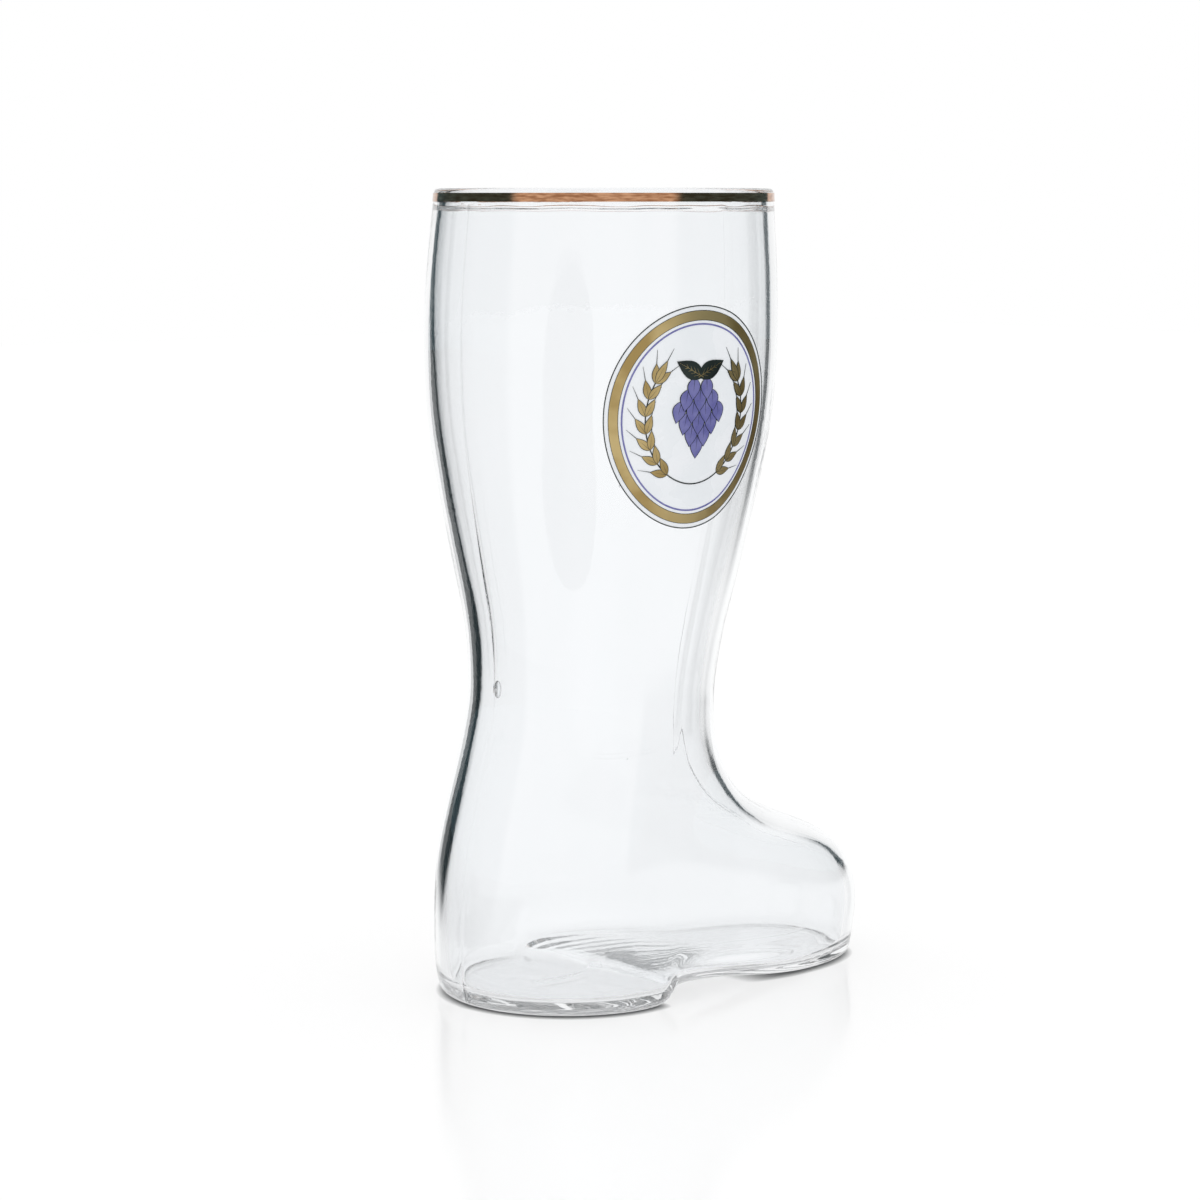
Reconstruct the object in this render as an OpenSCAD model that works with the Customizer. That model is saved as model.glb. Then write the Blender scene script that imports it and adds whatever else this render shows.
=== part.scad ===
// Boot-shaped beer glass: one blown glass body with a gilded lip and a fired
// oval label. +X points to the toe, +Z up, and the origin is the middle of the
// heel's flat seat. The label faces -Y, turned a little towards the heel.

/* [Leg] */
// Height of the glass from the floor to the top of the lip
boot_h = 182; // [160:1:210]
// Outer diameter of the leg at the lip
lip_d = 76.6; // [70:0.1:80]
// Outer diameter of the leg at its fullest
calf_d = 80.2; // [74:0.1:88]
// Height of the fullest part of the leg
calf_z = 149; // [138:1:158]
// Outer diameter of the ankle, the narrowest part
ankle_d = 56.2; // [50:0.1:64]
// Height of the ankle
ankle_z = 70; // [66:1:78]
// Distance from the heel seat's middle forward to the middle of the lip
lip_forward = 13; // [10:0.5:16]
// How far the middle of the ankle lies behind the middle of the lip
ankle_set_back = 3.7; // [0:0.1:6]
// Wall of the leg at the lip
lip_wall = 2.2; // [1.6:0.1:3.2]
// Wall of the ankle and of the foot
foot_wall = 3; // [2.2:0.1:4]

/* [Foot] */
// Distance from the heel seat's middle to the back of the heel
heel_reach = 28.5; // [26:0.5:32]
// Distance from the heel seat's middle to the tip of the toe
toe_reach = 84; // [78:0.5:92]
// Width of the foot
foot_w = 60.6; // [58:0.1:68]
// Squareness of the toe seen from above: 2 is an ellipse, more is blunter
toe_square = 2.8; // [2.2:0.1:3.4]
// Height of the step at the front of the heel
heel_step = 4; // [2:0.5:6]
// Distance from the heel seat's middle to the middle of that step
step_reach = 9.5; // [8:0.5:14]
// Length over which the step rises
step_run = 5; // [3:0.5:8]
// Distance from the heel seat's middle to where the arch meets the floor
ball_reach = 57; // [50:0.5:64]
// Radius of the edge round the sole
sole_round = 2.25; // [1.5:0.25:4]
// How far each side of the sole draws in at its waist
waist_tuck = 4; // [0:0.25:6]
// Thickness of the glass under the drink
base_t = 3; // [2.5:0.25:8]
// Radius between the inner floor and the inner wall
inner_round = 3; // [1.5:0.5:7]

/* [Gilded lip] */
// Height of the gilded band
gilt_h = 1.9; // [1:0.1:4]
// Distance from where the lip rounds over down to the gilded band
gilt_drop = 0; // [0:0.1:3]
// Thickness of the fired gold
gilt_t = 0.12; // [0.05:0.01:0.2]

/* [Label] */
// Width of the oval, measured round the leg
label_w = 44; // [36:0.5:50]
// Height of the oval
label_h = 48.8; // [40:0.5:54]
// Height of the middle of the oval above the floor
label_z = 132.5; // [126:0.5:136]
// Turn of the label round the leg from the side towards the heel, degrees
label_turn = 7; // [-20:0.5:20]
// Thickness of one fired layer of the label
ink_t = 0.12; // [0.08:0.01:0.2]
// Clearance of the ground's facets over the round leg
bed_clear = 0.1; // [0.1:0.01:0.3]
// Width of the gold ring
ring_w = 2.2; // [1.5:0.1:3]
// Width of the pale gap outside the gold ring
outer_gap = 0.8; // [0.5:0.1:1.5]
// Width of the dark line round the whole label
key_w = 0.3; // [0.2:0.05:0.5]
// Width of the white gap inside the gold ring
inner_gap = 0.6; // [0.4:0.1:1.5]
// Width of the blue line inside that gap
blue_w = 0.4; // [0.3:0.05:0.8]
// Size of the printed hop cone, from its stalk to its tip
hop_h = 17; // [12:0.5:22]
// Width of the hop cone
hop_w = 12; // [9:0.5:16]
// Length of one barley grain
grain_l = 4.4; // [3:0.1:6]
// Number of pairs of grains on one ear
grain_pairs = 7; // [4:1:9]

/* [Hidden] */

lip_r = lip_d / 2;
calf_r = calf_d / 2;
ankle_r = ankle_d / 2;
foot_r = foot_w / 2;
ankle_x = lip_forward - ankle_set_back;
ankle_back_x = ankle_x - ankle_r;
ankle_front_x = ankle_x + ankle_r;
heel_x = foot_r - heel_reach;
step_start_x = step_reach - step_run / 2;
step_end_x = step_reach + step_run / 2;

// Foot, from the floor up to the ankle. Each row is a share of the ankle's
// height, then how far the back, the front, the half width and the squareness
// have gone from the ankle's value (0) to the full value (1)
foot_shares = [
    [0.00, 0.84, 0.958, 0.50, 1.00],
    [0.06, 0.94, 0.966, 0.86, 1.00],
    [0.12, 0.99, 0.985, 1.00, 1.00],
    [0.20, 1.00, 1.000, 1.00, 1.00],
    [0.29, 0.99, 0.970, 1.00, 0.95],
    [0.37, 0.96, 0.900, 1.00, 0.85],
    [0.44, 0.91, 0.765, 1.00, 0.75],
    [0.50, 0.84, 0.560, 0.90, 0.60],
    [0.56, 0.75, 0.310, 0.75, 0.50],
    [0.62, 0.64, 0.180, 0.60, 0.35],
    [0.69, 0.50, 0.100, 0.45, 0.20],
    [0.78, 0.32, 0.025, 0.25, 0.10],
    [0.89, 0.12, 0.002, 0.08, 0.00],
    [1.00, 0.00, 0.000, 0.00, 0.00]
];
// Leg, from the ankle up to its fullest part: share of that height, share of
// the gain in radius, share of the ankle's set-back that is left
calf_shares = [
    [0.12, 0.07, 0.79],
    [0.35, 0.39, 0.60],
    [0.60, 0.73, 0.45],
    [0.80, 0.94, 0.33],
    [1.00, 1.00, 0.25]
];
// Leg, from its fullest part up to the lip: share of that height, share of the
// loss in radius, share of the ankle's set-back that is left
lip_shares = [
    [0.38, 0.18, 0.17],
    [0.65, 0.53, 0.10],
    [0.86, 0.86, 0.04],
    [1.00, 1.00, 0.00]
];

round_power = 2;
function leg_row(z, r, x) = [z, x - r, x + r, r, round_power];

// Rows up the boot: height, back, front, half width, squareness
rows = concat(
    [for (s = foot_shares) [
        s[0] * ankle_z,
        ankle_back_x - s[1] * (heel_reach + ankle_back_x),
        ankle_front_x + s[2] * (toe_reach - ankle_front_x),
        ankle_r + s[3] * (foot_r - ankle_r),
        round_power + s[4] * (toe_square - round_power)
    ]],
    [for (s = calf_shares) leg_row(
        ankle_z + s[0] * (calf_z - ankle_z),
        ankle_r + s[1] * (calf_r - ankle_r),
        lip_forward - s[2] * ankle_set_back
    )],
    [for (s = lip_shares) leg_row(
        calf_z + s[0] * (boot_h - calf_z),
        calf_r + s[1] * (lip_r - calf_r),
        lip_forward - s[2] * ankle_set_back
    )]
);
last_row = len(rows) - 1;

// Smooth curve through the rows that never overshoots them
function rise(c, i) = (rows[i + 1][c] - rows[i][c]) / (rows[i + 1][0] - rows[i][0]);
function mean_rise(a, b) = a * b <= 0 ? 0 : 2 * a * b / (a + b);
function slope_at(c, i) =
    i == 0 ? rise(c, 0) :
    i == last_row ? rise(c, last_row - 1) :
    mean_rise(rise(c, i - 1), rise(c, i));
slopes = [for (i = [0:last_row]) [0, for (c = [1:4]) slope_at(c, i)]];

function row_below(z, i = 0) =
    i >= last_row - 1 || z < rows[i + 1][0] ? i : row_below(z, i + 1);
function curve(a, b, slope_a, slope_b, span, u) =
    a * (1 + 2 * u) * pow(1 - u, 2) + b * u * u * (3 - 2 * u)
    + span * (slope_a * u * pow(1 - u, 2) - slope_b * u * u * (1 - u));
// Section of the boot at a height: back, front, half width, squareness
function section(z) =
    let (i = row_below(z), span = rows[i + 1][0] - rows[i][0], u = (z - rows[i][0]) / span)
    [for (c = [1:4]) curve(rows[i][c], rows[i + 1][c], slopes[i][c], slopes[i + 1][c], span, u)];
function mid_x(s) = s[0] + s[2];

function smooth_step(u) = let (v = min(1, max(0, u))) v * v * (3 - 2 * v);

// Height of the underside over the floor: none under the heel, a step at its
// front, then an arch that comes down to the floor at the ball of the foot
arch_top_z = ankle_z / 3;
function arch(x) =
    heel_step * smooth_step((x - step_start_x) / step_run)
    * (1 - smooth_step((x - step_end_x) / (ball_reach - step_end_x)));
// Draw-in of the sole's sides from the heel to the toe, gone a little way up
tuck_top_z = arch_top_z / 2;
waist_reach = (step_reach + ball_reach) / 2;
function tuck(x, z) =
    waist_tuck * smooth_step(2 * x / ball_reach)
    * (1 - smooth_step((x - waist_reach) / (toe_reach - waist_reach)))
    * pow(1 - min(1, z / tuck_top_z), 2);
function arched(p) = [p[0], p[1], p[2] + arch(p[0]) * (1 - smooth_step(p[2] / arch_top_z))];

// Point of the outer surface at an angle from the toe, drawn in by an inset
function skin(a, z, inset = 0) =
    let (
        s = section(z), x = mid_x(s), c = cos(a), w = s[2] - inset,
        front = s[1] - inset - x, back = x - s[0] - inset
    )
    c > 0
        ? let (x_at = x + c * front, side = pow(max(0, 1 - pow(c, s[3])), 1 / s[3]))
            arched([x_at, sign(sin(a)) * side * (w - tuck(x_at, z)), z])
        : arched([x + c * back, w * sin(a), z]);

function unit(v) = v / norm(v);
function flat(v) = unit([v[0], v[1], 0]);
probe_angle = 0.5;
probe = boot_h / 1000;
function outward(a, z) = unit(cross(
    skin(a + probe_angle, z) - skin(a - probe_angle, z),
    skin(a, z + probe) - skin(a, z - probe)
));
function wall_at(z) =
    foot_wall + (lip_wall - foot_wall) * smooth_step((z - ankle_z) / (boot_h - ankle_z));
function bore(a, z) = skin(a, z) - wall_at(z) * outward(a, z);

// Lines that run up the boot, at angles from the toe. They lie close together
// at the tip of the toe and where the heel steps up
toe_lines = 12;
toe_crowding = 1.3;
step_lines = 3;
heel_lines = 14;
toe_span = toe_reach - heel_x;
step_end_a = acos((step_end_x - heel_x) / toe_span);
step_start_a = acos((step_start_x - heel_x) / toe_span);
half_angles = concat(
    [for (i = [0:toe_lines - 1]) step_end_a * pow(i / toe_lines, toe_crowding)],
    [for (i = [0:step_lines - 1]) step_end_a + i * (step_start_a - step_end_a) / step_lines],
    [for (i = [0:heel_lines]) step_start_a + i * (180 - step_start_a) / heel_lines]
);
half_count = len(half_angles) - 1;
angles = concat(half_angles, [for (i = [half_count - 1:-1:1]) 360 - half_angles[i]]);
around = len(angles);

lip_round = lip_wall / 2;
lip_base_z = boot_h - lip_round;
gilt_top_z = lip_base_z - gilt_drop;
gilt_low_z = gilt_top_z - gilt_h;
floor_top_z = base_t + inner_round;
edge_steps = 4;
lip_steps = 6;
foot_rings = 18;
leg_rings = 14;
// Heights of the rings. One lies at each edge of the gilding, which follows them
outer_zs = concat(
    [for (i = [1:foot_rings]) sole_round + i * (ankle_z - sole_round) / foot_rings],
    [for (i = [1:leg_rings]) ankle_z + i * (gilt_low_z - ankle_z) / leg_rings],
    gilt_drop > 0 ? [gilt_top_z, lip_base_z] : [lip_base_z]
);
inner_zs = concat(
    [for (i = [leg_rings:-1:1]) ankle_z + i * (lip_base_z - ankle_z) / leg_rings],
    [for (i = [foot_rings:-1:0]) floor_top_z + i * (ankle_z - floor_top_z) / foot_rings]
);

// Rings of the glass, from the sole up the outside, over the lip and down the
// inside to the floor of the drink
sole_rings = [for (i = [0:edge_steps]) let (b = 90 * i / edge_steps) [for (a = angles)
    skin(a, sole_round * (1 - cos(b)), sole_round * (1 - sin(b)))
]];
outer_rings = [for (z = outer_zs) [for (a = angles) skin(a, z)]];
lip_rings = [for (i = [1:lip_steps - 1]) let (b = 180 * i / lip_steps) [for (a = angles)
    skin(a, lip_base_z) + lip_round * ((cos(b) - 1) * flat(outward(a, lip_base_z)) + [0, 0, sin(b)])
]];
inner_rings = [for (z = inner_zs) [for (a = angles) bore(a, z)]];
function floor_point(a, b) =
    let (q = bore(a, floor_top_z) - inner_round * (1 - cos(b)) * flat(outward(a, floor_top_z)))
    arched([q[0], q[1], floor_top_z - inner_round * sin(b)]);
floor_rings = [for (i = [1:edge_steps]) [for (a = angles) floor_point(a, 90 * i / edge_steps)]];
boot_rings = concat(sole_rings, outer_rings, lip_rings, inner_rings, floor_rings);

// Triangles between two rings of points, and across a ring from side to side
function band_faces(rings, n) = [
    for (i = [0:rings - 2], j = [0:n - 1], half = [0, 1])
    let (a = i * n + j, b = i * n + (j + 1) % n)
    half == 0 ? [a, a + n, b + n] : [a, b + n, b]
];
function cap_faces(first, n, flip) = [
    for (j = [0:n / 2 - 1], half = [0, 1])
    let (
        a = first + j, b = first + j + 1, c = first + n - j - 1, d = first + (n - j) % n,
        t = half == 0 ? [a, b, c] : [a, c, d]
    )
    if (t[0] != t[1] && t[1] != t[2] && t[2] != t[0]) flip ? [t[2], t[1], t[0]] : t
];
// Triangles of a ring-shaped film from four rings: round its section and round it
function film_faces(n) = [
    for (i = [0:3], j = [0:n - 1], half = [0, 1])
    let (a = i * n + j, b = i * n + (j + 1) % n, c = (a + n) % (4 * n), d = (b + n) % (4 * n))
    half == 0 ? [a, c, d] : [a, d, b]
];
function flatten(rings) = [for (r = rings, p = r) p];

// Place on the outside of the leg, from a distance round it and a height, both
// from the middle of the label. The layers of the label pile up outwards
label_r = section(label_z)[2];
label_dir = -90 - label_turn;
ground_top = bed_clear + ink_t;
layer_top = ground_top + ink_t;
function on_leg(p, out) =
    let (z = label_z + p[1], s = section(z), a = label_dir + p[0] / label_r * 180 / PI)
    [mid_x(s) + (s[2] + out) * cos(a), (s[2] + out) * sin(a), z];

// Closed film between two outlines with as many points each, inner and outer
module film_band(inner, outer, low, high) {
    polyhedron(
        flatten([
            [for (p = outer) on_leg(p, low)], [for (p = outer) on_leg(p, high)],
            [for (p = inner) on_leg(p, high)], [for (p = inner) on_leg(p, low)]
        ]),
        film_faces(len(outer))
    );
}

// Film over a ladder of points: pairs from the left and the right edge, with
// one point at each end
module film_ladder(start, left, right, end, low, high) {
    n = len(left);
    outline = concat([start], right, [end], [for (i = [n - 1:-1:0]) left[i]]);
    around_film = len(outline);
    polyhedron(
        flatten([[for (p = outline) on_leg(p, low)], [for (p = outline) on_leg(p, high)]]),
        concat(
            band_faces(2, around_film),
            cap_faces(0, around_film, false),
            cap_faces(around_film, around_film, true)
        )
    );
}

oval_points = 64;
function oval(inset) = [for (i = [0:oval_points - 1]) let (a = 360 * i / oval_points)
    [(label_w / 2 - inset) * cos(a), (label_h / 2 - inset) * sin(a)]];
ring_out = key_w + outer_gap;
ring_in = ring_out + ring_w;
blue_out = ring_in + inner_gap;

// Leaf-shaped outlines, from a stem point, a direction, a length and a width
blade_steps = 3;
blade_share = 0.8;
function turned(p, dir) = [p[0] * cos(dir) - p[1] * sin(dir), p[0] * sin(dir) + p[1] * cos(dir)];
function blade_side(at, dir, long, half) = [for (i = [1:blade_steps])
    let (u = i / (blade_steps + 1))
    at + turned([u * long, half * sin(180 * pow(u, blade_share))], dir)];
module blade(at, dir, long, wide, low, high) {
    film_ladder(
        at, blade_side(at, dir, long, wide / 2), blade_side(at, dir, long, -wide / 2),
        at + turned([long, 0], dir), low, high
    );
}

// A printed layer reaches this far into the one under it
film_sink = ink_t / 2;
print_low = ground_top - film_sink;

// Two ears of barley stand round the hop cone like a wreath, on an ellipse that
// is a share of the white field
field_w = label_w - 2 * (blue_out + blue_w);
field_h = label_h - 2 * (blue_out + blue_w);
wreath_share = 0.72;
ear_low_a = -58;
ear_high_a = 32;
grain_w_share = 0.42;
tip_grain_share = 1.4;
grain_tilt = 26;
function wreath(a) = wreath_share / 2 * [field_w * cos(a), field_h * sin(a)];
function wreath_dir(a) = atan2(field_h * cos(a), -field_w * sin(a));
function mirrored(p, side) = side == 0 ? p : [-p[0], p[1]];
function mirrored_dir(dir, side) = side == 0 ? dir : 180 - dir;
module grain(a, tilt, long) {
    for (side = [0, 1])
        blade(
            mirrored(wreath(a), side), mirrored_dir(wreath_dir(a) + tilt, side),
            long, grain_l * grain_w_share, print_low, layer_top
        );
}
module ears() {
    for (i = [0:grain_pairs - 1], row = [-1, 1])
        grain(
            ear_low_a + i * (ear_high_a - ear_low_a) / (grain_pairs - 1),
            row * grain_tilt, grain_l
        );
    grain(ear_high_a, 0, grain_l * tip_grain_share);
}

// One thin stalk runs under the hop cone from ear to ear
stalk_steps = 18;
module stalk() {
    at = [for (i = [0:stalk_steps])
        let (a = -180 - ear_high_a + i * (180 + 2 * ear_high_a) / stalk_steps)
        [wreath(a), turned([0, key_w / 2], wreath_dir(a))]];
    film_ladder(
        at[0][0], [for (i = [1:stalk_steps - 1]) at[i][0] + at[i][1]],
        [for (i = [1:stalk_steps - 1]) at[i][0] - at[i][1]], at[stalk_steps][0],
        print_low, layer_top
    );
}

// Hop cone: rows of petals that hang from its top and narrow to the tip, with
// two leaves that cross over its stem
petal_counts = [2, 3, 4, 3, 2, 1];
petal_rows = len(petal_counts);
petal_pitch = hop_w / max(petal_counts);
hop_top_share = 0.52;
hop_top = hop_h * hop_top_share;
petal_l_share = 0.25;
petal_l = hop_h * petal_l_share;
petal_w_share = 0.86;
petal_fan = 9;
leaf_l_share = 0.62;
leaf_l = hop_w * leaf_l_share;
leaf_w_share = 0.5;
leaf_cross_share = 0.08;
leaf_rise = 28;
module hop_petals() {
    for (i = [0:petal_rows - 1], k = [0:petal_counts[i] - 1]) {
        off = k - (petal_counts[i] - 1) / 2;
        blade(
            [off * petal_pitch, hop_top - i * (hop_h - petal_l) / (petal_rows - 1)],
            -90 + off * petal_fan, petal_l, petal_pitch * petal_w_share, print_low, layer_top
        );
    }
}
module hop_leaves() {
    for (side = [0, 1])
        blade(
            mirrored([-leaf_l * leaf_cross_share, hop_top], side),
            mirrored_dir(leaf_rise, side), leaf_l, leaf_l * leaf_w_share,
            print_low, layer_top
        );
}

module glass_boot() {
    color([0.9, 0.94, 0.95, 0.35])
    polyhedron(
        flatten(boot_rings),
        concat(
            band_faces(len(boot_rings), around),
            cap_faces(0, around, false),
            cap_faces((len(boot_rings) - 1) * around, around, true)
        )
    );
}

// Band of fired gold round the outside of the lip
module gilded_lip() {
    edge = [[gilt_low_z, 0], [gilt_low_z, gilt_t], [gilt_top_z, gilt_t], [gilt_top_z, 0]];
    color([0.75, 0.5, 0.3])
    polyhedron(
        flatten([for (e = edge) [for (a = angles) skin(a, e[0]) + e[1] * outward(a, e[0])]]),
        film_faces(around)
    );
}

// White ground under the print, from rings that close in on its middle
ground_rings = 4;
module label_ground() {
    rings = concat(
        [for (i = [1:ground_rings]) [for (p = oval(0)) on_leg(p * i / ground_rings, bed_clear)]],
        [for (i = [ground_rings:-1:1]) [for (p = oval(0)) on_leg(p * i / ground_rings, ground_top)]]
    );
    last = (2 * ground_rings - 1) * oval_points;
    middle = 2 * ground_rings * oval_points;
    color([0.95, 0.96, 0.97])
    polyhedron(
        concat(flatten(rings), [on_leg([0, 0], bed_clear), on_leg([0, 0], ground_top)]),
        concat(
            band_faces(2 * ground_rings, oval_points),
            [for (j = [0:oval_points - 1]) [j, (j + 1) % oval_points, middle]],
            [for (j = [0:oval_points - 1])
                [last + (j + 1) % oval_points, last + j, middle + 1]]
        )
    );
}

module label_gold_ring() {
    color([0.66, 0.55, 0.35])
    film_band(oval(ring_in), oval(ring_out), print_low, layer_top);
}

module label_dark_lines() {
    color([0.1, 0.13, 0.11]) {
        film_band(oval(key_w), oval(0), print_low, layer_top);
        stalk();
        hop_leaves();
    }
}

module label_blue_line() {
    color([0.43, 0.43, 0.66])
    film_band(oval(blue_out + blue_w), oval(blue_out), print_low, layer_top);
}

module label_barley() {
    color([0.66, 0.55, 0.35]) ears();
}

module label_hop() {
    color([0.43, 0.43, 0.66]) hop_petals();
}

glass_boot();
gilded_lip();
label_ground();
label_gold_ring();
label_dark_lines();
label_blue_line();
label_barley();
label_hop();
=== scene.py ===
import math

import bmesh
import bpy
from mathutils import Euler, Matrix, Vector, noise
from mathutils.bvhtree import BVHTree


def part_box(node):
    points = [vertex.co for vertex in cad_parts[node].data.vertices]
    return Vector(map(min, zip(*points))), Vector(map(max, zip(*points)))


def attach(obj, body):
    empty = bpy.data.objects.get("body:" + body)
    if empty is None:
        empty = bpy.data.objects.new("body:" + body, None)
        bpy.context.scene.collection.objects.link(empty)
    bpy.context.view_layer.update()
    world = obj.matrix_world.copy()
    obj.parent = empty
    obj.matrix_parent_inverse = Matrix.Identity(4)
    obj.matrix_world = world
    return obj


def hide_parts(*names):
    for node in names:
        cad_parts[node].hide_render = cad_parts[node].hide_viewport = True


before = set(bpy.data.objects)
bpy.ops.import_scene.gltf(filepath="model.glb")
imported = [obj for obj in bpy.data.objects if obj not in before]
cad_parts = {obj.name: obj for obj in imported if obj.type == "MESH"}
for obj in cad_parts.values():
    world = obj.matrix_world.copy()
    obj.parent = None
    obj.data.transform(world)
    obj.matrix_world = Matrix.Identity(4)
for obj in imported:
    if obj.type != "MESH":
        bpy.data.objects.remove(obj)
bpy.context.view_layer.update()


# The camera looks at the label side from behind the heel, a little from above.
# Its place is measured from the middle of the lip, and its lens and the height of
# the horizon over the middle of the picture are in pixels of a square frame.
mm = 0.001
frame_px = 1200
lens_px = 3355
horizon_px = 403
sensor_w = 36
lens_near = 10 * mm
view_turn = math.radians(-40)
view_drop = math.atan(horizon_px / lens_px)
camera_back = 760 * mm
camera_left = 0.8 * mm
camera_up = 180 * mm

lip_low, lip_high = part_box("gilded_lip")
lip_middle = (lip_low + lip_high) / 2
view_way = Vector((-math.sin(view_turn), math.cos(view_turn), 0))
view_right = Vector((view_way.y, -view_way.x, 0))

scene = bpy.context.scene
scene.view_settings.view_transform = "Standard"
camera_data = bpy.data.cameras.new("camera")
camera_data.sensor_width = sensor_w
camera_data.lens = lens_px * sensor_w / frame_px
camera_data.clip_start = lens_near
camera = bpy.data.objects.new("camera", camera_data)
scene.collection.objects.link(camera)
camera.location = Vector((lip_middle.x, lip_middle.y, 0)) - camera_back * view_way
camera.location += Vector((0, 0, camera_up)) - camera_left * view_right
camera.rotation_euler = Euler((math.pi / 2 - view_drop, 0, view_turn))
scene.camera = camera


# The room is a pale sheet that runs back under a white backdrop, lit evenly from
# all round. The camera sees white past their edges too, but what the glass and the
# gold mirror on both sides is the dark room.
class Socket:
    """A shader socket or number that adds Math nodes when it is used in an expression."""

    def __init__(self, shader, value):
        self.shader = shader
        self.value = value

    def math(self, operation, *others):
        """A Math node of this value and the others."""
        values = [self.value] + [getattr(o, "value", o) for o in others]
        return self.shader.node("ShaderNodeMath", {"operation": operation}, values)

    def __add__(self, other):
        return self.math("ADD", other)

    def __sub__(self, other):
        return self.math("SUBTRACT", other)

    def __rsub__(self, other):
        return Socket(self.shader, other).math("SUBTRACT", self)

    def __mul__(self, other):
        return self.math("MULTIPLY", other)

    def __gt__(self, other):
        return self.math("GREATER_THAN", other)

    __radd__ = __add__
    __rmul__ = __mul__


class Shader:
    """The nodes of one material or of the world."""

    def __init__(self, owner):
        owner.use_nodes = True
        self.tree = owner.node_tree
        self.tree.nodes.clear()

    def node(self, kind, settings=None, inputs=None, output=0):
        """A node: its settings are set first, then the values or links of its sockets."""
        made = self.tree.nodes.new(kind)
        for name, value in (settings or {}).items():
            setattr(made, name, value)
        pairs = inputs.items() if isinstance(inputs, dict) else enumerate(inputs or [])
        for name, value in pairs:
            value = getattr(value, "value", value)
            if isinstance(value, bpy.types.NodeSocket):
                self.tree.links.new(value, made.inputs[name])
            else:
                made.inputs[name].default_value = value
        return Socket(self, made.outputs[output]) if made.outputs else made

    def mix(self, share, a, b):
        """A colour between two colours."""
        return self.node(
            "ShaderNodeMix", {"data_type": "RGBA"}, {0: share, 6: a, 7: b}, output=2
        )

    def place(self):
        """The place on a piece, in metres."""
        return self.node("ShaderNodeTexCoord", output=3)

    def rise(self, value, low, high):
        """A share that rises softly from 0 to 1 while a value goes from low to high."""
        return self.node(
            "ShaderNodeMapRange", {"interpolation_type": "SMOOTHSTEP"},
            {"Value": value, "From Min": low, "From Max": high},
        )

    def light(self, name):
        """What is known of the ray of light, such as how often it was mirrored."""
        made = self.node("ShaderNodeLightPath").value.node
        return Socket(self, made.outputs[name])


# The sheet: its paint, the even light it adds where it is seen, its soft gloss, and a
# painted contact shadow, the dark line under the sole
floor_half = 3000 * mm
floor_gap = 0.05 * mm
floor_paint_colour = (0.97, 0.97, 0.97, 1)
floor_glow = 0.7
floor_glow_strength = 1.05
floor_gloss = 0.15
floor_gloss_rough = 0.12
# The painted contact shadow: how far its ambient occlusion reaches, its rays, and its
# dark colour
contact_reach = 1.8 * mm
contact_rays = 8
painted_contact_shadow_colour = (0.1, 0.105, 0.11, 1)
white = (1, 1, 1, 1)
# The dark ahead, which the inside of the glass shows, and the dark beside the camera,
# which its outside and the gold mirror
inner_dark = (0.018, 0.027, 0.03, 1)
outer_dark = (0.08, 0.15, 0.18, 1)
# Where the sheet fades into the dark, to the left and to the right of the boot
sheet_left = (50 * mm, 120 * mm)
sheet_right = (190 * mm, 380 * mm)
# Where the room is dark, in degrees to the side of straight ahead: where it starts,
# over how far it fades in, where it ends and over how far it fades out
outer_left = (28, 3, 114, 8)
outer_right = (34, 3, 126, 8)
inner_left = (26, 2, 45, 10)
inner_right = (29, 2, 36, 6)
# A faint share of the dark, which the inside of the glass shows more widely
haze_sides = (6, 22, 50, 20)
haze = 0.16
# What is mirrored more than once inside the sole sees more of the dark
sole_sides = (40, 10, 150, 10)
# Heights in degrees over which the dark sides give way to the bright ceiling
ceiling = (12, 24)
# Light is passed on inside the sole many times before it gets out
bounces = 100
# A count of bounces over these is at least one, and at least two
once = 0.5
twice = 1.5

scene.cycles.max_bounces = bounces
scene.cycles.transmission_bounces = bounces
scene.cycles.glossy_bounces = bounces


def dark_sides(shader, at, sheet=False):
    """1 where the dark room is, seen from the glass towards a point or a direction."""
    turned = shader.node(
        "ShaderNodeMapping", None, {"Vector": at, "Rotation": (0, 0, -view_turn)}
    )
    parts = shader.node("ShaderNodeSeparateXYZ", None, {0: turned}).value.node.outputs
    side, ahead, up = (Socket(shader, parts[name]) for name in "XYZ")
    turn = side.math("ARCTAN2", ahead) * math.degrees(1)

    def between(angle, start, fade_in, end, fade_out):
        """1 between two angles, with a fade at both."""
        risen = shader.rise(angle, start, start + fade_in)
        return risen * (1 - shader.rise(angle, end, end + fade_out))

    outer = between(0 - turn, *outer_left) + between(turn, *outer_right)
    inner = between(0 - turn, *inner_left) + between(turn, *inner_right)
    aside = turn.math("ABSOLUTE")
    inner = inner.math("MAXIMUM", between(aside, *haze_sides) * haze)
    through = shader.light("Transmission Depth") > once
    dark = inner * through + outer * (1 - through)
    if sheet:
        far_left = shader.rise(0 - side, *sheet_left)
        return dark * (far_left + shader.rise(side, *sheet_right))
    climb = up.math("ARCSINE") * math.degrees(1)
    again = shader.light("Glossy Depth") > twice
    in_sole = between(aside, *sole_sides) * through * again
    return (dark * (1 - shader.rise(climb, *ceiling))).math("MAXIMUM", in_sole)


def mirrored(shader):
    """1 for a ray that comes straight from glass or gold and was mirrored on its way."""
    last = shader.light("Is Glossy Ray")
    last = last.math("MAXIMUM", shader.light("Is Transmission Ray"))
    direct = 1 - (shader.light("Diffuse Depth") > once)
    return (shader.light("Glossy Depth") > once) * last * direct


floor_mesh = bmesh.new()
bmesh.ops.create_grid(floor_mesh, x_segments=1, y_segments=1, size=floor_half)
bmesh.ops.translate(floor_mesh, vec=(0, 0, -floor_gap), verts=floor_mesh.verts)
floor_data = bpy.data.meshes.new("floor")
floor_mesh.to_mesh(floor_data)
floor_mesh.free()
floor = bpy.data.objects.new("floor", floor_data)
scene.collection.objects.link(floor)

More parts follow.
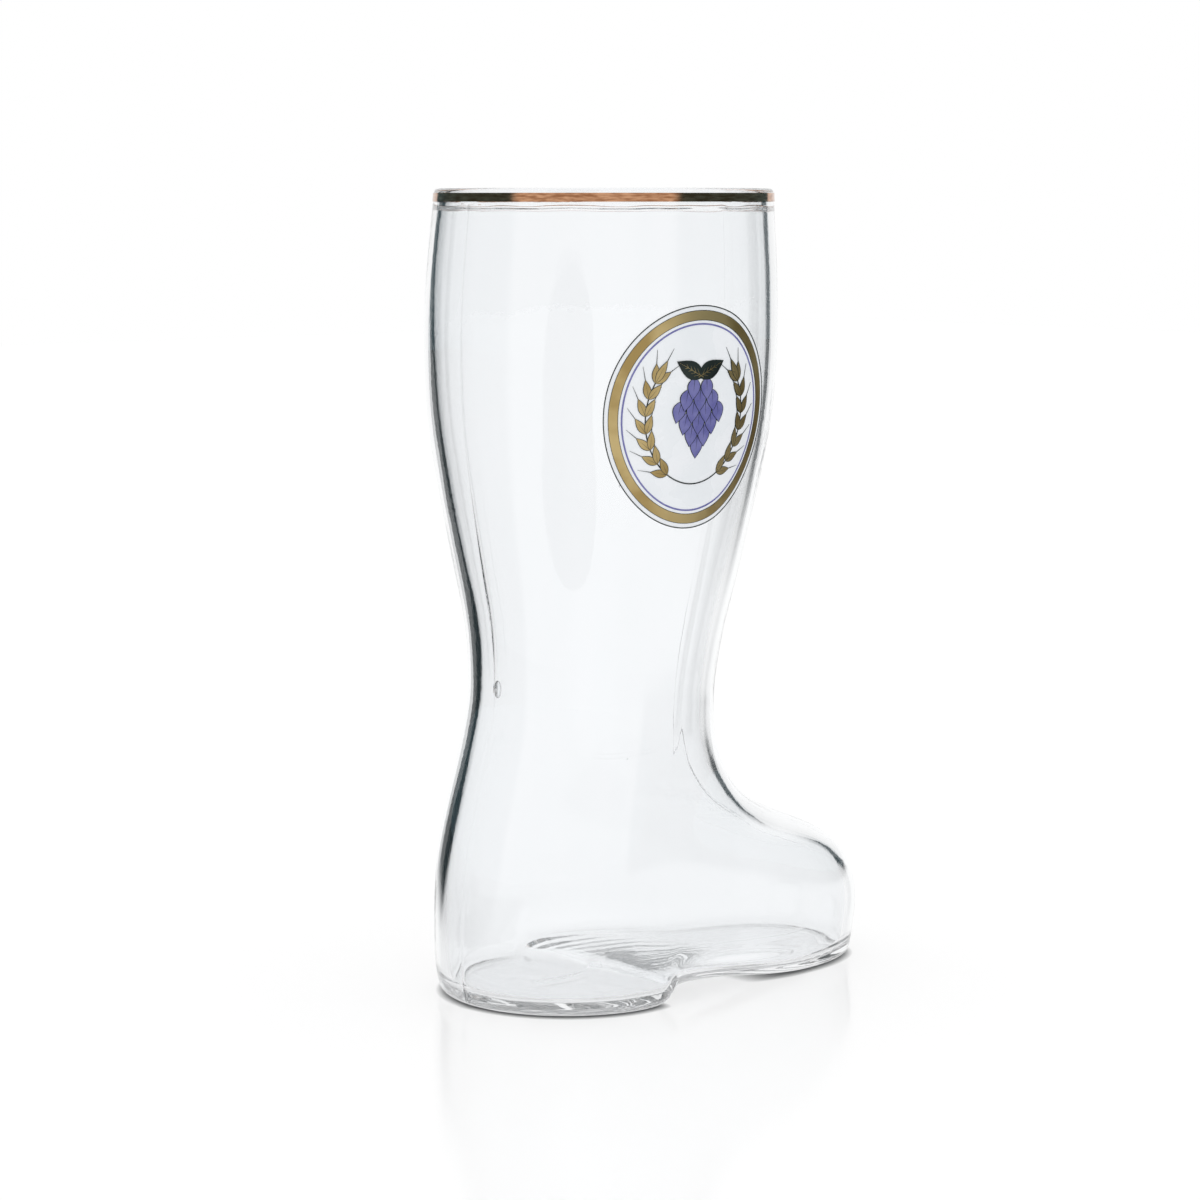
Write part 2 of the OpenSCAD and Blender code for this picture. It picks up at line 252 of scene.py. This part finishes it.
floor_sheet = bpy.data.materials.new("floor_sheet")
shader = Shader(floor_sheet)
# The paint, and the even light with which the sheet shows to the camera, in the glass
# and in the gold, under a soft gloss
seen = shader.light("Is Camera Ray")
for ray in ("Is Glossy Ray", "Is Transmission Ray"):
    seen = seen.math("MAXIMUM", shader.light(ray))
paint = shader.node("ShaderNodeBsdfDiffuse", None, {"Color": floor_paint_colour})
glow = shader.node(
    "ShaderNodeEmission", None, {"Color": white, "Strength": floor_glow_strength}
)
lit = shader.node("ShaderNodeMixShader", None, {0: seen * floor_glow, 1: paint, 2: glow})
gloss = shader.node(
    "ShaderNodeBsdfGlossy", None, {"Color": white, "Roughness": floor_gloss_rough}
)
glossy = shader.node("ShaderNodeMixShader", None, {0: floor_gloss, 1: lit, 2: gloss})
# A painted contact shadow: a thin dark line where the sole touches the sheet, where
# ambient occlusion darkens the sheet for camera rays only
open_share = shader.node(
    "ShaderNodeAmbientOcclusion", {"samples": contact_rays},
    {"Color": white, "Distance": contact_reach}, output=1,
)
painted_shadow = shader.node("ShaderNodeBsdfDiffuse", None, {"Color": painted_contact_shadow_colour})
painted_shadow_share = (1 - open_share) * shader.light("Is Camera Ray")
painted_shadow_mix = shader.node("ShaderNodeMixShader", None, {0: painted_shadow_share, 1: glossy, 2: painted_shadow})
# The dark past the sides of the sheet, which only the glass and the gold show
edge = shader.node("ShaderNodeBsdfDiffuse", None, {"Color": inner_dark})
past = dark_sides(shader, shader.place(), sheet=True) * mirrored(shader)
sheet = shader.node("ShaderNodeMixShader", None, {0: past, 1: painted_shadow_mix, 2: edge})
shader.node("ShaderNodeOutputMaterial", None, {"Surface": sheet})
floor_data.materials.append(floor_sheet)

studio = bpy.data.worlds.new("studio")
scene.world = studio
studio.cycles.sampling_method = "NONE"
shader = Shader(studio)
way = shader.node("ShaderNodeTexCoord", output=0)
through = shader.light("Transmission Depth") > once
dark_colour = shader.mix(through, outer_dark, inner_dark)
shade = shader.mix(dark_sides(shader, way) * mirrored(shader), white, dark_colour)
sky = shader.node("ShaderNodeBackground", None, {"Color": shade, "Strength": 1})
shader.node("ShaderNodeOutputWorld", None, {"Surface": sky})


# The boot is one piece of clear glass, blown in a mould of two halves. Its walls are
# almost even, and its lip is melted round. The joint of the mould left a fine ridge
# up the middle of the heel and the front, and a few bubbles are caught in the wall.
glass_levels = 2
# Points nearer than the first are merged, and nearer than the second they match. The
# third is how strongly loose triangles are joined into a regular grid.
merge_gap = 0.001 * mm
match_gap = 0.01 * mm
grid_pull = 2
# Cuts across the sole and the floor inside, and how often each is evened out
sole_cuts = 9
sole_passes = 1
inside_passes = 3
even_share = 0.5
# Slight waves in the blown wall, longer up the leg than round it
wave_h = 0.05 * mm
wave_l = 11 * mm
wave_stretch = 0.4
wave_low = 8 * mm
wave_high = 176 * mm
# The swelling inside the lip. The wall is cut at rings, counted in rises from the lower
# edge of the swelling, and only its inside moves, where the normals point inwards.
bead_low = 177.1 * mm
bead_rise = 0.5 * mm
bead_rings = (-1, -0.5, 0, 0.5, 1, 1.5, 2.5)
bead_deep = 0.75 * mm
bead_wander = 0.5 * mm
bead_bumps = 9
bead_inward = -0.1
# The mould's joint: half the ridge's width, how near a point of it lies to the middle
# plane, and from where to where it runs
seam_half = 0.25 * mm
seam_reach = 0.12 * mm
seam_low = 1.2 * mm
seam_high = 178.5 * mm
boot_middle_x = 10 * mm
# Heights up the back and the front of the boot with the ridge's height there, both in
# millimetres
back_ridge = [
    (0, 0.35), (5, 0.3), (8, 0.06), (50, 0.06), (76, 0.15), (82, 0.32), (106, 0.32),
    (112, 0.15), (182, 0.12),
]
front_ridge = [
    (0, 0.04), (30, 0.1), (37, 0.7), (50, 0.7), (55, 0.35), (78, 0.35), (84, 0.15),
    (182, 0.15),
]
ridge_wear = 0.5
wear_l = 2 * mm
# Middles and half sizes of the bubbles in millimetres, the first where the ridge ends
# at the ankle
bubbles = [
    ((-17.1, 0, 71), (0.9, 1.25, 2.2)),
    ((-3.2, -27.3, 57.2), (0.16, 0.16, 0.2)),
    ((24.6, -22, 42), (0.18, 0.18, 0.3)),
    ((-8.4, -30.6, 118), (0.12, 0.12, 0.35)),
    ((15, -36.9, 92), (0.12, 0.12, 0.2)),
]
bubble_levels = 2
# Fine vertical streaks and pits in the surface
streak_scale = 260
streak_squeeze = 0.12
pit_scale = 900
pit_share = 0.25
ripple_h = 0.02 * mm
ripple_strength = 0.5
glass_grey = (0.95, 0.963, 0.972, 1)
glass_pale = (0.966, 0.972, 0.982, 1)
glass_ior = 1.5


def welded(node):
    """A CAD node's mesh with its triangles joined back into a regular grid of quads."""
    shell = bmesh.new()
    shell.from_mesh(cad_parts[node].data)
    bmesh.ops.remove_doubles(shell, verts=shell.verts, dist=merge_gap)
    bmesh.ops.join_triangles(
        shell, faces=shell.faces, angle_face_threshold=math.pi,
        angle_shape_threshold=math.pi, topology_influence=grid_pull,
    )
    return shell


def add_piece(shell, name, materials, levels=0):
    """The finished object of a mesh, smoothed by subdivision and riding on the root."""
    for face in shell.faces:
        face.smooth = True
    data = bpy.data.meshes.new(name)
    shell.to_mesh(data)
    shell.free()
    for material in materials:
        data.materials.append(material)
    made = bpy.data.objects.new(name, data)
    scene.collection.objects.link(made)
    if levels:
        rounder = made.modifiers.new("rounder", "SUBSURF")
        rounder.levels = rounder.render_levels = levels
    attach(made, "root")
    return made


def along(stops, at):
    """Value at a place between stops, which are pairs of a place and a value."""
    for (low, a), (high, b) in zip(stops, stops[1:]):
        if at <= high:
            return a + (b - a) * (at - low) / (high - low)
    return stops[-1][1]


def finish_surface(shader, values):
    """Gives a material its one glass, gold or enamel surface."""
    body = shader.node("ShaderNodeBsdfPrincipled", None, values)
    shader.node("ShaderNodeOutputMaterial", None, {"Surface": body})


def on_seam(vert):
    """Whether a point lies on the outside, in the plane where the mould's halves met."""
    out = vert.normal.x * (vert.co.x - boot_middle_x) > 0
    return out and abs(vert.co.y) < seam_reach and seam_low < vert.co.z < seam_high


# The sole and the floor inside are strips that run straight across the boot. They are
# cut into a grid, and evened out in height, to take the heel's step smoothly.
shell = welded("glass_boot")
across = [
    e for e in shell.edges
    if abs(e.verts[0].co.y + e.verts[1].co.y) < match_gap < abs(e.verts[0].co.y)
    and abs(e.verts[0].co.x - e.verts[1].co.x) < match_gap
]
cut = bmesh.ops.subdivide_edges(shell, edges=across, cuts=sole_cuts, use_grid_fill=True)
inside = [v for v in cut["geom_inner"] if isinstance(v, bmesh.types.BMVert)]
shell.normal_update()
sole = [v for v in inside if v.normal.z < 0]
drink_floor = [v for v in inside if v.normal.z > 0]
for side, passes in ((sole, sole_passes), (drink_floor, inside_passes)):
    for _ in range(passes):
        bmesh.ops.smooth_vert(
            shell, verts=side, factor=even_share, use_axis_x=False, use_axis_y=False,
            use_axis_z=True,
        )
shell.normal_update()
for vert in shell.verts:
    if wave_low < vert.co.z < wave_high:
        at = Vector((vert.co.x, vert.co.y, vert.co.z * wave_stretch)) / wave_l
        vert.co += vert.normal * wave_h * noise.noise(at)

# Inside, under the gold, the melted lip swells to a bead with an uneven edge
for step in bead_rings:
    bmesh.ops.bisect_plane(
        shell, geom=[*shell.verts, *shell.edges, *shell.faces], dist=merge_gap,
        plane_co=(0, 0, bead_low + step * bead_rise), plane_no=(0, 0, 1),
    )
shell.normal_update()
for vert in shell.verts:
    out = (vert.co - lip_middle).xy.normalized()
    if vert.co.z > bead_low - bead_rise and vert.normal.xy.dot(out) < bead_inward:
        low = bead_low + bead_wander * noise.noise(Vector((*out, 0)) * bead_bumps)
        share = min(1, max(0, (vert.co.z - low) / bead_rise))
        vert.co.xy -= out * bead_deep * share

# The mould's ridge
seam = [e for e in shell.edges if all(on_seam(v) for v in e.verts)]
ridge = bmesh.ops.bevel(
    shell, geom=seam, offset=seam_half, offset_type="OFFSET", segments=2, profile=0.5,
    affect="EDGES", material=-1,
)
shell.normal_update()
for vert in {v for f in ridge["faces"] for v in f.verts if on_seam(v)}:
    stops = front_ridge if vert.co.x > boot_middle_x else back_ridge
    worn = 1 + ridge_wear * noise.noise(vert.co / wear_l)
    vert.co += vert.normal * along(stops, vert.co.z / mm) * mm * worn

# The bubbles are hollows, so their faces point inwards
for middle, half in bubbles:
    size = Matrix.Diagonal((*(Vector(half) * mm), 1))
    fit = Matrix.Translation(Vector(middle) * mm) @ size
    ball = bmesh.ops.create_icosphere(
        shell, subdivisions=bubble_levels, radius=1, matrix=fit
    )
    faces = list({f for v in ball["verts"] for f in v.link_faces})
    bmesh.ops.reverse_faces(shell, faces=faces)

clear_glass = bpy.data.materials.new("clear_glass")
shader = Shader(clear_glass)
drawn = shader.node(
    "ShaderNodeMapping", None, {"Vector": shader.place(), "Scale": (1, 1, streak_squeeze)}
)
streaks = shader.node(
    "ShaderNodeTexNoise", None, {"Vector": drawn, "Scale": streak_scale, "Detail": 2}
)
pits = shader.node(
    "ShaderNodeTexNoise", None,
    {"Vector": shader.place(), "Scale": pit_scale, "Detail": 1},
)
ripples = {
    "Strength": ripple_strength, "Distance": ripple_h,
    "Height": streaks + pits * pit_share,
}
finish_surface(shader, {
    "Base Color": shader.mix(streaks, glass_grey, glass_pale),
    "Roughness": 0,
    "IOR": glass_ior,
    "Transmission Weight": 1,
    "Normal": shader.node("ShaderNodeBump", None, ripples),
})
boot = add_piece(shell, "boot", [clear_glass], levels=glass_levels)
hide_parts("glass_boot")


# The lip carries a band of fired gold, brushed on round the outside while the glass
# turned. It is a little uneven and worn in places.
corner_angle = math.radians(40)
gilt_levels = 2
gilt_colour = (0.6, 0.33, 0.19, 1)
gilt_worn_colour = (0.3, 0.13, 0.06, 1)
gilt_wear = (0.3, 0.7)
# The least roughness, what the strokes of the brush add, and from where to where
gilt_smooth = 0.06
gilt_rough = 0.1
gilt_rough_from = (0.2, 0.9)
brush_scale = 350
brush_squeeze = 6
brush_h = 0.02 * mm
brush_strength = 0.4


def crease_corners(shell):
    """Keeps the edges of a band sharp when it is subdivided."""
    crease = shell.edges.layers.float.new("crease_edge")
    for edge in shell.edges:
        if edge.calc_face_angle(0) > corner_angle:
            edge[crease] = 1
            edge.smooth = False


fired_gold = bpy.data.materials.new("fired_gold")
shader = Shader(fired_gold)
brushed = shader.node(
    "ShaderNodeMapping", None, {"Vector": shader.place(), "Scale": (1, 1, brush_squeeze)}
)
strokes = shader.node(
    "ShaderNodeTexNoise", None, {"Vector": brushed, "Scale": brush_scale, "Detail": 4}
)
finish_surface(shader, {
    "Base Color": shader.mix(
        shader.rise(strokes, *gilt_wear), gilt_worn_colour, gilt_colour
    ),
    "Roughness": shader.rise(strokes, *gilt_rough_from) * gilt_rough + gilt_smooth,
    "Metallic": 1,
    "Normal": shader.node(
        "ShaderNodeBump", None,
        {"Strength": brush_strength, "Distance": brush_h, "Height": strokes},
    ),
})
shell = welded("gilded_lip")
crease_corners(shell)
gold_lip = add_piece(shell, "gold_lip", [fired_gold], levels=gilt_levels)
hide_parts("gilded_lip")


# The label is a screen print in enamel, fired on to the leg. First comes an oval
# ground of white enamel, which also shows through the glass from the back.
label_w = 44 * mm
label_h = 48.8 * mm
label_z = 132.5 * mm
label_side = math.radians(-97)
# The leg's axis behind the label, how it leans, and its radius. Rays that look for the
# glass start at the last distance from the axis.
leg_x = 11.8 * mm
leg_lean = 0.017
leg_r = 39.26 * mm
outside = 60 * mm
# The oval is a stretched circle, whose rings outside this radius keep their width
field_r = 17.7 * mm
oval_steps = 128
ground_rings = 12
# Heights over the glass. The ground starts a little below, so that it lies on it.
sunk = -0.03 * mm
ground_top = 0.16 * mm
print_low = 0.1 * mm
print_top = 0.24 * mm
# Where the enamel is faded, and its grain
patch_scale = 120
patch_fade = (0.35, 0.65)
patch_rough = 0.15
grain_scale = 2500
grain_h = 0.01 * mm
grain_strength = 0.5
white_ink = (0.84, 0.87, 0.9, 1)
white_ink_faded = (0.88, 0.9, 0.93, 1)
white_ink_rough = 0.2

bpy.context.view_layer.update()
glass_skin = BVHTree.FromObject(boot, bpy.context.evaluated_depsgraph_get())


def wrap(flat):
    """Bends a flat print round the leg. Its z is the height over the glass."""
    for vert in flat.verts:
        turn = label_side + vert.co.x / leg_r
        out = Vector((math.cos(turn), math.sin(turn), 0))
        axis = Vector((leg_x + leg_lean * vert.co.y, 0, label_z + vert.co.y))
        hit = glass_skin.ray_cast(axis + out * outside, -out)[0]
        vert.co = hit + out * vert.co.z
    bmesh.ops.recalc_face_normals(flat, faces=flat.faces)
    for edge in flat.edges:
        edge.smooth = edge.calc_face_angle(0) < corner_angle


def oval_film(flat, insets, low, high, edge_w=0):
    """A film over an oval ring between the first and the last inset from its rim."""
    rim = label_w / 2
    profile = [flat.verts.new((rim - i, 0, high)) for i in insets]
    profile += [flat.verts.new((rim - i, 0, low)) for i in reversed(insets)]
    edges = [flat.edges.new(pair) for pair in zip(profile, profile[1:] + profile[:1])]
    bmesh.ops.spin(
        flat, geom=profile + edges, cent=(0, 0, 0), axis=(0, 0, 1), angle=2 * math.pi,
        steps=oval_steps, use_merge=True,
    )
    bmesh.ops.remove_doubles(flat, verts=flat.verts, dist=merge_gap)
    for face in flat.faces:
        inset = rim - face.calc_center_median().xy.length
        if edge_w and not insets[0] + edge_w < inset < insets[-1] - edge_w:
            face.material_index = 1
    for vert in flat.verts:
        vert.co.y *= 1 + (label_h - label_w) / 2 / max(vert.co.xy.length, field_r)


def enamel(name, colour, faded, rough, metal=0, scale=patch_scale):
    """Fired enamel or gold: patchy colour and gloss, and the fine grain of a print."""
    made = bpy.data.materials.new(name)
    shader = Shader(made)
    at = shader.place()
    patches = shader.node(
        "ShaderNodeTexNoise", None, {"Vector": at, "Scale": scale, "Detail": 3}
    )
    grain = shader.node(
        "ShaderNodeTexNoise", None, {"Vector": at, "Scale": grain_scale, "Detail": 2}
    )
    finish_surface(shader, {
        "Base Color": shader.mix(shader.rise(patches, *patch_fade), colour, faded),
        "Roughness": patches * patch_rough + rough,
        "Metallic": metal,
        "Normal": shader.node(
            "ShaderNodeBump", None,
            {"Strength": grain_strength, "Distance": grain_h, "Height": grain},
        ),
    })
    return made


white_enamel = enamel("white_enamel", white_ink, white_ink_faded, white_ink_rough)
ground = bmesh.new()
insets = [label_w / 2 * i / ground_rings for i in range(ground_rings + 1)]
oval_film(ground, insets, sunk, ground_top)
wrap(ground)
print_ground = add_piece(ground, "print_ground", [white_enamel])
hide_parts("label_ground")


# Inside the edge of the ground run a broad gold ring between two dark hair lines, and
# a thin blue line. Each is a printed film that stands a little proud of the ground.
ring_out = 1.1 * mm
ring_w = 2.2 * mm
hair_w = 0.12 * mm
blue_out = 3.9 * mm
blue_w = 0.35 * mm
ink_rough = 0.22
dark_ink = (0.008, 0.012, 0.011, 1)
dark_ink_faded = (0.02, 0.03, 0.026, 1)
blue_ink = (0.13, 0.13, 0.36, 1)
blue_ink_faded = (0.18, 0.18, 0.42, 1)
blue_patch_scale = 400
gold_ink = (0.36, 0.25, 0.09, 1)
gold_ink_faded = (0.56, 0.43, 0.2, 1)
gold_ink_rough = 0.26
gold_ink_metal = 0.75
gold_patch_scale = 90

dark_enamel = enamel("dark_enamel", dark_ink, dark_ink_faded, ink_rough)
blue_enamel = enamel(
    "blue_enamel", blue_ink, blue_ink_faded, ink_rough, scale=blue_patch_scale
)
gold_print = enamel(
    "gold_print", gold_ink, gold_ink_faded, gold_ink_rough, metal=gold_ink_metal,
    scale=gold_patch_scale,
)

gold_ring = bmesh.new()
ring_in = ring_out + ring_w
insets = [ring_out, ring_out + hair_w, ring_in - hair_w, ring_in]
oval_film(gold_ring, insets, print_low, print_top, edge_w=hair_w)
wrap(gold_ring)
ring = add_piece(gold_ring, "print_gold_ring", [gold_print, dark_enamel])
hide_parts("label_gold_ring")

blue_line = bmesh.new()
oval_film(blue_line, [blue_out, blue_out + blue_w], print_low, print_top)
wrap(blue_line)
line = add_piece(blue_line, "print_blue_line", [blue_enamel])
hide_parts("label_blue_line")


# In the middle hangs a hop cone of overlapping blue bracts, each with a dark outline
# and vein. It is the second print, after the gold and before the dark lines.
line_w = 0.17 * mm
# What a line loses of its width to its end, and how far along a leaf is fullest
line_taper = 0.8
leaf_full = 0.8
# Each bract is printed a little higher than the one before it
stack = 0.005 * mm
hop_top = 8.84 * mm
bract_counts = [2, 3, 4, 3, 2, 1]
bract_drop = 2.55 * mm
bract_pitch = 3 * mm
bract_fan = math.radians(9)
bract_l = 5 * mm
bract_w = 3.3 * mm
bract_vein = 0.6


def film(flat, path, width, top, steps=12, outline=0, ink=0):
    """A printed stroke along a path, of one ink or with an outline of the second."""
    # Of four strips side by side, the outer two are the outline
    grid = bmesh.ops.create_grid(flat, x_segments=steps, y_segments=4, size=1)["verts"]
    faces = list({f for v in grid for f in v.link_faces})
    for face in faces:
        outer = abs(face.calc_center_median().y) > 0.5
        face.material_index = 1 if outline and outer else ink
    for vert in grid:
        share = (vert.co.x + 1) / 2
        half = width(share) / 2
        reach = [0, max(0, half - outline), half][round(2 * abs(vert.co.y))]
        if not outline:
            reach = half * abs(vert.co.y)
        point, cross = path(share)
        vert.co.xy = point + cross * math.copysign(reach, vert.co.y)
        vert.co.z = top
    sheet = bmesh.ops.extrude_face_region(flat, geom=faces, use_keep_orig=True)["geom"]
    under = [v for v in sheet if isinstance(v, bmesh.types.BMVert)]
    for vert in under:
        vert.co.z = print_low
    bmesh.ops.remove_doubles(flat, verts=grid + under, dist=merge_gap)


def straight(at, turn, long):
    """A straight path: at a share of its length, the place and the way across it."""
    ahead = Vector((math.cos(turn), math.sin(turn)))
    cross = Vector((-ahead.y, ahead.x))
    return lambda t: (Vector(at) + ahead * (long * t), cross)


def leaf(wide):
    """Width of a leaf along it: pointed at both ends, and fullest before the middle."""
    return lambda t: wide * abs(math.sin(math.pi * t ** leaf_full))


def stroke(wide):
    """Width of a pen stroke along it, which thins out to its end."""
    return lambda t: wide * (1 - line_taper * t)


hop = bmesh.new()
rank = 0
for row in reversed(range(len(bract_counts))):
    for k in range(bract_counts[row]):
        off = k - (bract_counts[row] - 1) / 2
        at = (off * bract_pitch, hop_top - row * bract_drop)
        turn = -math.pi / 2 + off * bract_fan
        top = print_top + rank * stack
        film(hop, straight(at, turn, bract_l), leaf(bract_w), top, outline=line_w)
        vein = straight(at, turn, bract_l * bract_vein)
        film(hop, vein, stroke(line_w), top + stack / 2, ink=1)
        rank += 1
wrap(hop)
print_hop = add_piece(hop, "print_hop", [blue_enamel, dark_enamel])
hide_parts("label_hop")


# Two ears of barley stand round the hop cone as a wreath. Their grains are printed in
# gold with dark outlines, and each grain ends in a long dark awn.
wreath_half = Vector((12.74, 14.47)) * mm
ear_low = math.radians(-58)
ear_high = math.radians(32)
grain_pairs = 7
grain_tilt = math.radians(26)
grain_l = 4.4 * mm
grain_w = 1.85 * mm
awn_l = 3.1 * mm
# Shares of a grain's length: the grain at the ear's tip, the crease and the awn's start
tip_grain = 1.3
crease_l = 0.7
awn_start = 0.95
# Shares of a line's width
grain_line = 0.8
crease_line = 0.6


def wreath(turn):
    """A place on the wreath's oval."""
    return Vector((wreath_half.x * math.cos(turn), wreath_half.y * math.sin(turn)))


def wreath_way(turn):
    """The direction in which the wreath's oval runs there."""
    return math.atan2(wreath_half.y * math.cos(turn), -wreath_half.x * math.sin(turn))


def both_sides(at, turn):
    """A place and direction, and the same mirrored over the label's middle."""
    return [(at, turn), (Vector((-at.x, at.y)), math.pi - turn)]


barley = bmesh.new()
rank = 0
for pair in range(grain_pairs):
    turn = ear_low + pair * (ear_high - ear_low) / (grain_pairs - 1)
    for tilt in (-grain_tilt, grain_tilt, 0):
        long = grain_l * (1 if tilt else tip_grain)
        if not tilt and pair < grain_pairs - 1:
            continue
        for at, way in both_sides(wreath(turn), wreath_way(turn) + tilt):
            tip = at + Vector((math.cos(way), math.sin(way))) * long * awn_start
            top = print_top + rank * stack
            grain = straight(at, way, long)
            film(barley, grain, leaf(grain_w), top, outline=line_w * grain_line)
            crease = straight(at, way, long * crease_l)
            film(barley, crease, stroke(line_w * crease_line), top + stack / 2, ink=1)
            film(barley, straight(tip, way, awn_l), stroke(line_w), print_top, ink=1)
        rank += 1
wrap(barley)
print_barley = add_piece(barley, "print_barley", [gold_print, dark_enamel])
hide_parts("label_barley")


# The last print is nearly black: the line round the edge of the ground, the stalk that
# carries both ears, and two hop leaves, whose veins are drawn in gold.
edge_line = 0.24 * mm
stalk_steps = 60
leaf_l = 7.44 * mm
leaf_w = 3.9 * mm
leaf_rise = math.radians(28)
leaf_cross = 0.6 * mm
vein_pairs = 4
vein_gap = 1.1 * mm
vein_l = 1.7 * mm
vein_turn = math.radians(38)
vein_steps = 4
# The midrib's share of the leaf, and what each pair of veins loses to the one before it
midrib = 0.9
vein_shrink = 0.125
# Shares of a line's width
stalk_line = 1.6
vein_line = 0.8
# The leaves lie over the bracts of the hop cone, and the veins over the leaves
bracts = sum(bract_counts)
leaf_top = print_top + (bracts + 1) * stack
vein_top = print_top + (bracts + 2) * stack


def stalk(t):
    """The stalk's path, down from the tip of one ear and up to the tip of the other."""
    turn = -math.pi - ear_high + t * (math.pi + 2 * ear_high)
    way = wreath_way(turn)
    return wreath(turn), Vector((-math.sin(way), math.cos(way)))


dark = bmesh.new()
oval_film(dark, [0, edge_line], print_low, print_top)
film(dark, stalk, lambda t: line_w * stalk_line, print_top, steps=stalk_steps)
for at, way in both_sides(Vector((-leaf_cross, hop_top)), leaf_rise):
    ahead = Vector((math.cos(way), math.sin(way)))
    film(dark, straight(at, way, leaf_l), leaf(leaf_w), leaf_top)
    film(dark, straight(at, way, leaf_l * midrib), stroke(line_w), vein_top, ink=1)
    for vein in range(1, vein_pairs + 1):
        for side in (-1, 1):
            start = at + ahead * vein_gap * vein
            long = vein_l * (1 - vein * vein_shrink)
            path = straight(start, way + side * vein_turn, long)
            width = stroke(line_w * vein_line)
            film(dark, path, width, vein_top, ink=1, steps=vein_steps)
wrap(dark)
print_dark = add_piece(dark, "print_dark_lines", [dark_enamel, gold_print])
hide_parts("label_dark_lines")
